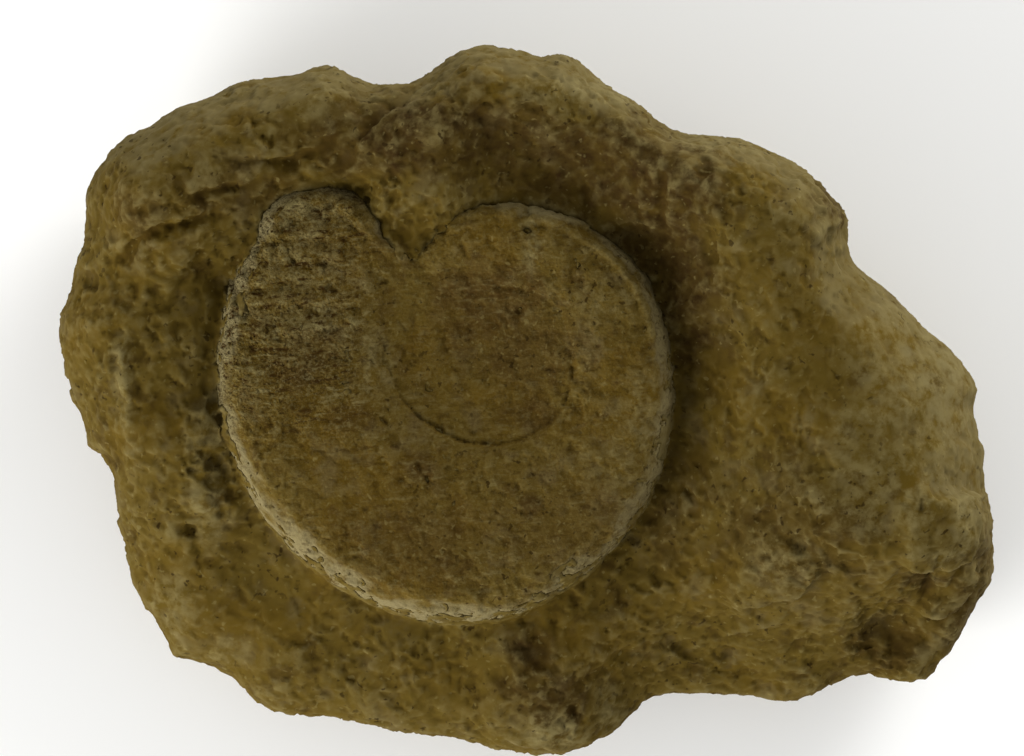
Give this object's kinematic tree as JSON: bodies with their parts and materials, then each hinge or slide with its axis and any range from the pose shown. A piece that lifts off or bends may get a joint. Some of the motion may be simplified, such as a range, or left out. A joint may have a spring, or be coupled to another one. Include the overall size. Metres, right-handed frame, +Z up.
{
  "type": "ammonite fossil in matrix",
  "caption": "Coiled ammonite standing out of a loose, rough limestone block, lying on the block's flat underside with the fossil facing up.",
  "frame": {"origin": "middle of the block's footprint, on the flat resting face", "axes": "+Z up, out of the fossil's exposed side; +X along the block's longest side, towards its broad dome; +Y towards the tall ridge"},
  "size_m": [0.1642, 0.1238, 0.0548],
  "materials": {
    "fossil_limestone": "weathered fine-grained limestone, dull olive brown with ochre patches and pale worn edges",
    "matrix_limestone": "rough oolitic limestone, dull olive brown with ochre stains, grey worn crests and small dark pits"
  },
  "bodies": {
    "root": {"ammonite": "fossil_limestone", "matrix": "matrix_limestone"}
  },
  "joints": []
}
